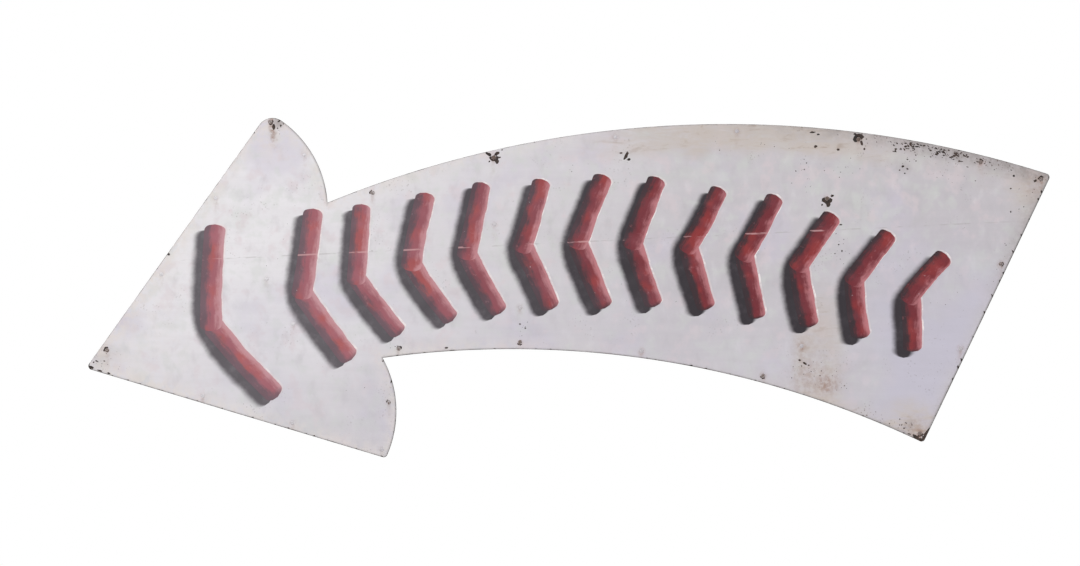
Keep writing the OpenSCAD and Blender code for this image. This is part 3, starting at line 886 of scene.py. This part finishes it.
# The painted bars, with a dark shade to their lower left and a pale edge to their upper right
barLook = {
    "wobble": 1.5,
    "ragged": 0.055,
    "step": 1.6,
    "seed": 5,
    "section": 26,  # sides of a stroke's section
    "lean": 68,  # of a bar from the line that it stands on, in degrees
    "bluntEnd": 0.55,  # length of an end's rounding, as a share of half the width
    "lapRise": 0.06,  # of the second bar of a pair over the first
    "stations": 9,  # guide points along a bar
    "starts": (-12, -3),  # where the two bars of a pair start, from its apex
    "lowerLeft": (0.86, 0.51),  # a stroke darkens this way
    # The pairs on the arrowhead: apex across and up, turn, and half height
    "headPairs": [(-704, -126, 19, 142), (-562, -76, 17, 118)],
    "shaftPairs": 11,  # they stand on an arc that follows the shaft
    "shaftFirst": -476,
    "pitch": 86.5,
    "archTop": (-90, 2),
    "arc": 1334,
    "tallAt": (-476, -389, -43, 130, 389),
    "tall": (107, 102.5, 101, 95, 80),  # half heights at those places
    "faintest": 0.08,  # how strong the red is at the sun-bleached end
    "fading": (-650, 100),
    # Lowest first. Crown is the paint's thickness, and a joined pair is one stroke
    "layers": {
        "bar_shades": {"shift": (-14, -9.5), "level": 0.05, "width": 44, "crown": 0.04,
                       "joined": True},
        "bar_light_edges": {"shift": (2.6, 1.8), "level": 0.17, "width": 31, "crown": 0.04,
                            "joined": False},
        "painted_bars": {"shift": (0, 0), "level": 0.29, "width": 31, "crown": 0.1,
                         "joined": False},
    },
    "colours": {  # where the red is bleached, and where it is fresh
        "body": ((160, 96, 106), (104, 22, 34)),
        "pale": ((196, 150, 156), (190, 122, 128)),
        "dark": ((108, 86, 95), (30, 14, 24)),
        "warm": ((170, 90, 91), (132, 36, 38)),
        "shade": ((94, 89, 94), (42, 36, 42)),
        "paleShade": ((126, 121, 126), (78, 72, 78)),
    },
    "lightEdge": ((222, 200, 200), (234, 226, 226)),
    "scuff": (206, 160, 162),
}


def barPairs():
    # Each pair of bars: apex across and up, turn, half height, and strength of its red
    look = barLook
    topAcross, topUp = look["archTop"]
    pairs = list(look["headPairs"])
    for i in range(look["shaftPairs"]):
        x = look["shaftFirst"] + look["pitch"] * i
        slope = (topAcross - x) / look["arc"]
        pairs.append((x, topUp - slope * slope * look["arc"] / 2,
                      math.degrees(math.atan(slope)),
                      np.interp(x, look["tallAt"], look["tall"])))
    return [(*pair, look["faintest"] + (1 - look["faintest"]) * fade(pair[0], *look["fading"]))
            for pair in pairs]


def barTree():
    tree, given = newTree("brush_strokes", {
        "Width": ("Float", 30.0), "Crown": ("Float", 0.1), "Wobble": ("Float", 1.0),
        "Ragged": ("Float", 0.1), "Step": ("Float", 2.0), "Seed": ("Float", 0.0),
        "Blunt": ("Float", 0.9), "Paint": ("Material", None)})

    def uneven(scale, detail):
        return add(tree, "ShaderNodeTexNoise", {
            "Vector": position(tree), "W": given["Seed"], "Scale": scale, "Detail": detail},
            noise_dimensions="4D").outputs

    def shifted(geometry, texture, amount):  # by the texture's colour, within the sheet's plane
        by = output(tree, "ShaderNodeVectorMath", {0: texture["Color"], 1: (0.5, 0.5, 0.5)},
                    operation="SUBTRACT")
        by = output(tree, "ShaderNodeVectorMath", {0: by, 1: (amount, amount, 0)},
                    operation="MULTIPLY")
        by = output(tree, "ShaderNodeVectorMath", {0: by, "Scale": given["Wobble"]},
                    operation="SCALE")
        return output(tree, "GeometryNodeSetPosition", {0: geometry, "Offset": by})

    paths = output(tree, "GeometryNodeMeshToCurve", {0: given["Geometry"]})
    paths = output(tree, "GeometryNodeResampleCurve", {0: paths, "Length": given["Step"]},
                   mode="LENGTH")
    # Half the width at each place, with uneven sides and blunt ends
    along = add(tree, "GeometryNodeSplineParameter").outputs["Length"]
    whole = add(tree, "GeometryNodeSplineLength").outputs["Length"]
    toEnd = maths("MINIMUM", along, maths("SUBTRACT", whole, along))
    slow = uneven(0.03, 3.0)
    swell = centred(slow["Fac"], times(given["Ragged"], 4.0))
    half = times(times(given["Width"], 0.5), times(recalled(tree, "share"), plus(swell, 1.0)))
    inward = maths("DIVIDE", toEnd, times(half, given["Blunt"]), clamp=True)
    taper = maths("SQRT", times(inward, maths("SUBTRACT", 2.0, inward)))
    girth = maths("MAXIMUM", times(half, taper), 0.05)
    paths = shifted(stored(paths, "along", along), slow, 2)
    paths = stored(paths, "middle", position(tree), "FLOAT_VECTOR")
    paths = output(tree, "GeometryNodeSetCurveNormal", {0: paths}, mode="Z_UP")
    paths = stored(paths, "girth", girth)
    # The section: a low crown on a flat bottom, one unit to each side
    section = output(tree, "GeometryNodeCurvePrimitiveCircle",
                     {"Resolution": barLook["section"], "Radius": 1.0})
    spot = add(tree, "ShaderNodeSeparateXYZ", {0: position(tree)}).outputs
    rise = times(maths("MINIMUM", spot["Y"], 0.0),
                 maths("DIVIDE", given["Crown"], times(given["Width"], 0.5)))
    squashed = output(tree, "ShaderNodeCombineXYZ", {"X": spot["X"], "Y": rise})
    section = stored(section, "across", spot["X"])
    section = output(tree, "GeometryNodeSetPosition", {0: section, "Position": squashed})
    solid = output(tree, "GeometryNodeCurveToMesh", {
        0: paths, "Profile Curve": section, "Scale": recalled(tree, "girth"),
        "Fill Caps": True})
    return closedTree(tree, shifted(solid, uneven(0.16, 4.0), 1), given["Paint"])


def barGuides(shift, level, joined):
    # Two paths for each pair of bars, drawn from the apex outwards, or one through the apex
    look = barLook
    draw = random.Random(look["seed"])
    places, edges, share, ink, foot = [], [], [], [], []
    for x, y, turn, half, strength in barPairs():
        rows = []
        for side, start in zip((1, -1), look["starts"]):
            lean = math.radians(turn + side * (look["lean"] + draw.uniform(-3, 3)))
            long = half / math.sin(math.radians(look["lean"])) * draw.uniform(0.97, 1.04)
            wide = draw.uniform(0.94, 1.06) * (1.08 if half > 110 else 1)
            bow = draw.uniform(-2.5, 2.5)
            z = level + (look["lapRise"] if side > 0 and not joined else 0)
            row = []
            for i in range(look["stations"]):
                t = i / (look["stations"] - 1)
                s = start + t * (long - start)
                sway = bow * math.sin(math.pi * t)
                row.append(((x + s * math.cos(lean) - sway * math.sin(lean) + shift[0],
                             y + s * math.sin(lean) + sway * math.cos(lean) + shift[1], z),
                            wide * (1.0 - 0.07 * t), strength + 0.1 * draw.uniform(-1, 1)))
            rows.append(row)
        if joined:  # a rounded corner through the apex
            upper, lower = (row[2:] for row in rows)
            corner = list(zip(upper[0][0], (x + shift[0], y + shift[1], level), lower[0][0]))
            arc = [([(1 - t) ** 2 * a + 2 * t * (1 - t) * b + t * t * c for a, b, c in corner],
                    1.0, strength) for t in (i / 8 for i in range(1, 8))]
            rows = [upper[::-1] + arc + lower]
        for row in rows:
            for i, (place, wide, strong) in enumerate(row):
                places.append(place)
                share.append(wide)
                ink.append(strong)
                foot.append(float(i == len(row) - 1 and place[1] < y + shift[1]))
                if i:
                    edges.append((len(places) - 2, len(places) - 1))
    return guideMesh("bar_guides", places, edges, share=share, ink=ink, foot=foot)


def barLayer(name, tree, material, layer):
    look = barLook
    mesh = grown(tree, barGuides(layer["shift"], layer["level"], layer["joined"]), {
        "Blunt": look["bluntEnd"], "Width": float(layer["width"]), "Crown": layer["crown"],
        "Wobble": look["wobble"], "Ragged": look["ragged"], "Step": look["step"],
        "Seed": float(look["seed"]), "Paint": material})
    places = vectorsOf(mesh.vertices, "co")
    away = places - vectorsOf(mesh.attributes["middle"].data, "vector")
    mesh.attributes.remove(mesh.attributes["middle"])
    reach = np.linalg.norm(away[:, :2], axis=1)
    left, down = look["lowerLeft"]
    facing = -(away[:, 0] * left + away[:, 1] * down) / np.maximum(reach, 0.01)
    toLowerLeft = np.sign(facing) * np.abs(facing) ** 0.4 * reach / (layer["width"] / 2)
    places[:, 2] += sheetFront + np.array([bulge(x, y) for x, y in places[:, :2]])
    standUp(mesh, places)
    mesh.set_sharp_from_angle(angle=math.radians(40))
    floatAttribute(mesh, "under", toLowerLeft)
    giveWeights(mesh, places[:, :2])
    smooth(mesh)
    return pieceFromMesh(name, mesh)


def edgeShare(tree):  # 0 along the middle of a stroke, 1 at its two sides
    return maths("ABSOLUTE", weight(tree, "across"))


def streaked(tree):  # brush streaks that run along a stroke
    where = output(tree, "ShaderNodeCombineXYZ", {
        "X": times(weight(tree, "across"), 3.2), "Y": times(weight(tree, "along"), 0.03),
        "Z": times(weight(tree, "ink"), 6.0)})
    return noisy(where, 1, 5, 0.65, 0.2)


def inked(tree, name):  # a colour of the bars at a place's strength of red
    return mixed(weight(tree, "ink"), *barLook["colours"][name])


def redPaintMaterial():
    material, tree = newMaterial("red_bar_paint", roughness=0.5, specular=0.4)
    here = placed(tree)
    streaks = streaked(tree)
    mottle = noisy(here, 90, 5, 0.65)
    clouds = noisy(placed(tree, move=(2, 0, 5)), 42, 4, 0.6)
    worn = noisy(placed(tree, move=(3, 0, 1)), 130, 6, 0.75)
    pale, dark = inked(tree, "pale"), inked(tree, "dark")
    body = mixed(stepped(noisy(here, 24, 3, 0.5), 0.45, 0.65), inked(tree, "body"),
                 inked(tree, "warm"))
    # How dark a place is, from its side of the stroke and from the brush
    under = weight(tree, "under")
    tone = plus(plus(times(under, 0.95), centred(streaks, 1.1)), centred(clouds, 1.0))
    foot = plus(weight(tree, "foot"), centred(clouds, 0.7))
    side = stepped(plus(edgeShare(tree), centred(mottle, 0.4)), 0.72, 1.05, 0, 0.6)
    base = mixed(stepped(tone, -0.85, -0.15, 0.2, 1), pale, body)
    for share, tint in (
            (stepped(tone, -0.02, 0.62, 0, 0.96), dark),
            (stepped(foot, 0.4, 1.0, 0, 0.85), dark),
            (times(side, stepped(under, 0.0, -0.4)), pale),
            (stepped(mottle, 0.58, 0.8, 0, 0.35), pale),
            (stepped(worn, 0.66, 0.72, 0, 0.6), groundColours["dull"]),
            (times(scuffed(tree, 0.0009), 0.6), barLook["scuff"])):
        base = mixed(share, base, tint)
    return finished(material, base, stepped(mottle, 0.3, 0.7, 0.4, 0.62),
                    plus(streaks, times(mottle, 0.4)), 0.0003, 0.5)


def shadePaintMaterial():
    material, tree = newMaterial("bar_shade_paint", roughness=0.58, specular=0.3)
    mottle = noisy(placed(tree), 60, 5, 0.65)
    soft = stepped(plus(edgeShare(tree), centred(mottle, 0.24)), 0.42, 0.98)
    base = mixed(stepped(mottle, 0.45, 0.75, 0, 0.45), inked(tree, "shade"),
                 inked(tree, "paleShade"))
    base = mixed(soft, base, groundBase(tree))
    return finished(material, base, stepped(mottle, 0.3, 0.7, 0.48, 0.68), mottle, 0.0002, 0.4)


def lightEdgeMaterial():
    material, tree = newMaterial("bar_edge_paint", roughness=0.5, specular=0.4)
    mottle = noisy(placed(tree), 45, 5, 0.65)
    base = mixed(stepped(mottle, 0.35, 0.65), *barLook["lightEdge"])
    base = mixed(stepped(mottle, 0.5, 0.6, 0.6, 0.0), base, groundBase(tree))
    return finished(material, base, None, mottle, 0.0002, 0.4)


strokes = barTree()
barPaints = (shadePaintMaterial, lightEdgeMaterial, redPaintMaterial)
bars = [barLayer(name, strokes, paintOf(), layer)
        for (name, layer), paintOf in zip(barLook["layers"].items(), barPaints)]
print("painted bars:", sum(len(piece.data.polygons) for piece in bars), "faces")


# The sheet's screws
screwLook = {
    "headRadius": 3.25,
    "headHigh": 1.85,
    "domeRadii": (0.45, 0.5, 1.0, 1.5, 2.0, 2.5, 2.9, 3.12),
    "shankRadius": 1.8,
    "shankLong": 17,
    "slotWide": 0.9,
    "slotDeep": 0.7,
    "slotFloor": 0.12,
    "lift": 0.02,  # of the head off the sheet
    "around": 28,
    "seed": 17,
    "rusty": ((84, 68, 62), (122, 104, 94)),
    "collar": (140, 126, 122),  # painted shade on the paint where the head meets the sheet
    "shank": (92, 84, 80),
}


def screwMesh():
    # One round head with its slot and shank, standing on the sheet at height 0
    look = screwLook
    head, high, around = look["headRadius"], look["headHigh"], look["around"]
    shank, long = look["shankRadius"], look["shankLong"]
    ball = (head * head + high * high) / (2 * high)
    profile = [(r, math.sqrt(ball * ball - r * r) - (ball - high))
               for r in (*look["domeRadii"], head)]
    profile += [(head, -0.02), (head - 0.3, -0.1), (shank, -0.14), (shank, -long * 0.7),
                (0.35, -long)]
    mesh = bmesh.new()
    rings = []
    for r, z in profile:
        ring = []
        for i in range(around):
            a = 2 * math.pi * i / around
            x, depth = r * math.cos(a), z
            if z > 0.1:  # the slot across the head
                side = fade(abs(x), look["slotWide"] * 0.38, look["slotWide"] * 0.62)
                depth = max(z - look["slotDeep"] * (1 - side), look["slotFloor"])
            ring.append(mesh.verts.new((x, r * math.sin(a), depth)))
        rings.append(ring)
    for a, b in zip(rings, rings[1:]):
        for i in range(around):
            j = (i + 1) % around
            mesh.faces.new((a[i], b[i], b[j], a[j]))
    mesh.faces.new(rings[0])
    mesh.faces.new(rings[-1][::-1])
    bmesh.ops.recalc_face_normals(mesh, faces=mesh.faces)
    screw = bpy.data.meshes.new("screw")
    mesh.to_mesh(screw)
    mesh.free()
    floatAttribute(screw, "height", [v.co.z for v in screw.vertices])
    return screw


def screwRows():
    # A screw at each guide point, each turned its own way
    tree, given = newTree("sheet_screws", {
        "Screw": ("Object", None), "Seed": ("Int", 0), "Finish": ("Material", None)})
    info = add(tree, "GeometryNodeObjectInfo", {"Object": given["Screw"], "As Instance": True})
    turn = output(tree, "FunctionNodeRandomValue",
                  {"Max": (0.0, 0.0, 6.283), "Seed": given["Seed"]}, data_type="FLOAT_VECTOR")
    rows = output(tree, "GeometryNodeInstanceOnPoints", {
        "Points": given["Geometry"], "Instance": info.outputs["Geometry"], "Rotation": turn})
    return closedTree(tree, rows, given["Finish"])


def paintedScrewMaterial():
    material, tree = newMaterial("painted_screw", roughness=0.5, specular=0.4)
    speck = noisy(placed(tree), 900, 4, 0.7)
    height = weight(tree, "height")
    rusty = mixed(stepped(speck, 0.4, 0.6), *screwLook["rusty"])
    # The same painted shade as on the ground round each head
    base = mixed(weight(tree, "dull"), groundColours["light"], groundColours["dull"])
    for share, tint in (
            (stepped(speck, 0.35, 0.7, 0, 0.3), groundColours["grime"]),
            (stepped(plus(speck, weight(tree, "bare")), 0.72, 0.8), rusty),
            # Painted shade at the foot of each head
            (stepped(height, 0.0, 0.35, 0.35, 0.0), screwLook["collar"]),
            (stepped(height, -0.3, -0.1, 1.0, 0.0), screwLook["shank"])):
        base = mixed(share, base, tint)
    return finished(material, base, stepped(speck, 0.3, 0.7, 0.4, 0.75), speck, 0.0002, 0.5)


def screwPieces():
    source = bpy.data.objects.new("screw_source", screwMesh())
    bpy.context.scene.collection.objects.link(source)
    finish = paintedScrewMaterial()
    tree = screwRows()
    torn = {tuple(nearestScrew(*ring[0])): ring[-1] for ring in tornScrews}
    for name, nodeName in screwNodes.items():
        centres = islandCentres(nodeName)
        guides = guideMesh("guides", [(x, y, sheetFront + bulge(x, y) + screwLook["lift"])
                                      for x, y in centres],
                           bare=[0.06 * torn.get((x, y), 1.0) for x, y in centres])
        mesh = grown(tree, guides, {"Screw": source, "Seed": screwLook["seed"],
                                    "Finish": finish})
        places = vectorsOf(mesh.vertices, "co")
        # The ground's painted shade at each head
        floatAttribute(mesh, "dull", [paintWeights(x, y)[0] for x, y in places[:, :2]])
        standUp(mesh, places)
        smooth(mesh)
        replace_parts(pieceFromMesh(name, mesh), nodeName)
    bpy.data.objects.remove(source)


screwPieces()
print("sheet screws placed:", len(screws))


# The timber frame and its screws
timberLook = {
    "easedEdge": 0.9,
    "sharpest": 35,  # edges that turn more than this many degrees are eased
    "shortest": 3,
    "seed": 41,
    "wood": ((168, 146, 120), (142, 120, 96)),
    "rings": (112, 88, 66),
    "fibres": (96, 78, 62),
    "weathered": (132, 126, 118),
    "knots": (74, 50, 36),
    "jointScrews": ((118, 110, 104), (98, 66, 48)),
}


def timberMaterial():
    material, tree = newMaterial("weathered_softwood", roughness=0.8, specular=0.25)
    look = timberLook
    grain = add(tree, "ShaderNodeAttribute", attribute_name="grain").outputs["Vector"]

    def stretched(long, cross, move=0.0):  # scaled along the grain and across it
        return output(tree, "ShaderNodeMapping", {
            "Vector": grain, "Scale": (long, cross, cross), "Location": (move, move, move)})

    rings = add(tree, "ShaderNodeTexWave", {
        "Vector": stretched(3.0, 70, 2.0), "Scale": 1.0, "Distortion": 5.0, "Detail": 2.0,
        "Detail Scale": 0.8}, wave_type="RINGS", rings_direction="X").outputs["Fac"]
    fibres = noisy(stretched(14, 700, 5.0), 1, 4, 0.7)
    knots = add(tree, "ShaderNodeTexVoronoi", {
        "Vector": stretched(5.0, 20, 9.0), "Scale": 1.0}).outputs["Distance"]
    base = mixed(stepped(noisy(stretched(1.6, 26), 1, 3, 0.5, 0.6), 0.3, 0.7), *look["wood"])
    for name, share in (
            ("rings", stepped(rings, 0.45, 0.95, 0, 0.6)),
            ("fibres", stepped(fibres, 0.5, 0.75, 0, 0.55)),
            ("weathered", stepped(noisy(placed(tree), 16, 4, 0.6), 0.45, 0.7, 0, 0.6)),
            ("knots", stepped(knots, 0.05, 0.16, 0.85, 0.0))):
        base = mixed(share, base, look[name])
    return finished(material, base, stepped(fibres, 0.3, 0.7, 0.7, 0.92),
                    plus(fibres, times(rings, 0.4)), 0.0006, 0.6)


def easedTimber(nodeName, material, index):
    look = timberLook
    solid = weldedMesh(nodeName)
    bmesh.ops.dissolve_limit(solid, angle_limit=math.radians(1.0), verts=solid.verts,
                             edges=solid.edges)
    sharp = [e for e in solid.edges if len(e.link_faces) == 2 and e.is_convex
             and math.degrees(e.calc_face_angle(0)) > look["sharpest"]
             and e.calc_length() > look["shortest"] * millimetre]
    bmesh.ops.bevel(solid, geom=sharp, offset=look["easedEdge"] * millimetre, segments=2,
                    profile=0.5, affect="EDGES", clamp_overlap=True)
    bmesh.ops.triangulate(solid, faces=[f for f in solid.faces if len(f.verts) > 4])
    mesh = bpy.data.meshes.new(nodeName)
    solid.to_mesh(mesh)
    solid.free()
    mesh.materials.append(material)
    # The grain runs along the member, and starts at its own place in each
    places = vectorsOf(mesh.vertices, "co")
    plan = places[:, [0, 2]]
    axes = np.linalg.eigh(np.cov((plan - plan.mean(0)).T))[1]
    long = axes[:, 1] * (1 if axes[0, 1] >= 0 else -1)
    cross = np.array([-long[1], long[0]])
    draw = random.Random(look["seed"] + index)
    start = np.array([draw.uniform(-5, 5) for _ in range(3)])
    grain = np.stack([plan @ long, plan @ cross, places[:, 1]], 1) + start
    attribute = mesh.attributes.new("grain", "FLOAT_VECTOR", "POINT")
    attribute.data.foreach_set("vector", grain.astype(np.float32).ravel())
    piece = pieceFromMesh(nodeName.replace("_", "") + "_timber", mesh)
    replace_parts(piece, nodeName)


def jointScrewMaterial():
    material, tree = newMaterial("rusty_joint_screw", roughness=0.6, metallic=0.6)
    speck = noisy(placed(tree), 500, 5, 0.7)
    base = mixed(stepped(speck, 0.4, 0.62), *timberLook["jointScrews"])
    return finished(material, base, stepped(speck, 0.35, 0.65, 0.4, 0.85), speck, 0.0002, 0.5)


timberNames = [s["node"] for s in frame["record"]["subparts"]
               if s["material_slot"] == "frame_timber"]
timber = timberMaterial()
for index, nodeName in enumerate(timberNames):
    easedTimber(nodeName, timber, index)
print("frame members:", len(timberNames))

jointFinish = jointScrewMaterial()
for slot in nodes["joint_screws"].material_slots:
    slot.material = jointFinish
if not nodes["joint_screws"].material_slots:
    nodes["joint_screws"].data.materials.append(jointFinish)
print("joint screws finished")


# Stage, light and camera
stageLook = {
    "floorLevel": -0.75,
    "floorSize": 5,
    "floorGrey": 0.82,
    "floorWhite": 0.6,  # how far the floor is lifted to white where it is seen
    "worldLight": 0.5,
    "lampSize": 3.0,
    "lampAim": (-0.15, 0, -0.06),
    "lamps": {"key": ((-2.6, -4.2, 2.6), 123), "fill": ((3.4, -4.0, 0.8), 57),
              "back": ((1.5, 4.0, 2.2), 110)},  # place and power
    "cameraTurn": 4,  # degrees round to the right, so that right-hand edges show
    "cameraFar": 20,
    "sensor": 36,
    "photoWide": 1080,
    "photoHigh": 566,
    "tipAcross": 83.7,  # the sharp tip's place in the photograph
    "tipDown": 368.3,
    "pixel": 0.001561,  # size of one of its pixels at the sign
    "tip": (-0.901, -0.195),
}


def seenBackground(tree):  # 1 for what the camera sees, also in gloss and through glass
    rays = add(tree, "ShaderNodeLightPath").outputs
    return maths("ADD", plus(rays["Is Camera Ray"], rays["Is Glossy Ray"]),
                 rays["Is Transmission Ray"], clamp=True)


def stageFloor():
    look = stageLook
    half, level = look["floorSize"] / 2, look["floorLevel"]
    mesh = bpy.data.meshes.new("floor")
    mesh.from_pydata([(-half, -half, level), (half, -half, level), (half, half, level),
                      (-half, half, level)], [], [(0, 1, 2, 3)])
    floor = bpy.data.objects.new("floor", mesh)
    bpy.context.scene.collection.objects.link(floor)
    material, tree = newMaterial("floor", roughness=0.9)
    shader = tree.nodes["Principled BSDF"]
    shader.inputs["Base Color"].default_value = (*[look["floorGrey"]] * 3, 1)
    white = output(tree, "ShaderNodeEmission", {"Color": (1, 1, 1, 1), "Strength": 1.0})
    blend = output(tree, "ShaderNodeMixShader", {
        0: times(seenBackground(tree), look["floorWhite"]), 1: shader.outputs[0], 2: white})
    tree.links.new(blend, tree.nodes["Material Output"].inputs["Surface"])
    mesh.materials.append(material)


def lamp(name, place, power):
    light = bpy.data.lights.new(name, "AREA")
    light.size = stageLook["lampSize"]
    light.energy = power
    made = bpy.data.objects.new(name, light)
    made.location = place
    aim = Vector(stageLook["lampAim"]) - Vector(place)
    made.rotation_euler = aim.to_track_quat("-Z", "Y").to_euler()
    bpy.context.scene.collection.objects.link(made)


def world():
    studio = bpy.data.worlds.new("studio")
    studio.use_nodes = True
    tree = studio.node_tree
    tree.nodes.clear()
    soft, white = (output(tree, "ShaderNodeBackground", {"Color": (1, 1, 1, 1), "Strength": s})
                   for s in (stageLook["worldLight"], 1.0))
    blend = output(tree, "ShaderNodeMixShader", {0: seenBackground(tree), 1: soft, 2: white})
    add(tree, "ShaderNodeOutputWorld", {"Surface": blend})
    bpy.context.scene.world = studio


def camera():
    look = stageLook
    far, pixel, tip = look["cameraFar"], look["pixel"], look["tip"]
    middle = Vector((tip[0] + (look["photoWide"] / 2 - look["tipAcross"]) * pixel,
                     -sheetFront * millimetre,
                     tip[1] + (look["tipDown"] - look["photoHigh"] / 2) * pixel))
    turn = math.radians(look["cameraTurn"])
    data = bpy.data.cameras.new("camera")
    data.sensor_width = look["sensor"]
    data.lens = data.sensor_width * far / (look["photoWide"] * pixel)
    data.clip_end = 100
    made = bpy.data.objects.new("camera", data)
    made.location = middle + far * Vector((math.sin(turn), -math.cos(turn), 0))
    made.rotation_euler = (math.radians(90), 0, turn)
    bpy.context.scene.collection.objects.link(made)
    bpy.context.scene.camera = made


stageFloor()
world()
for name, (place, power) in stageLook["lamps"].items():
    lamp(name, place, power)
camera()
bpy.context.scene.view_settings.view_transform = "Standard"
print("stage, light and camera placed")
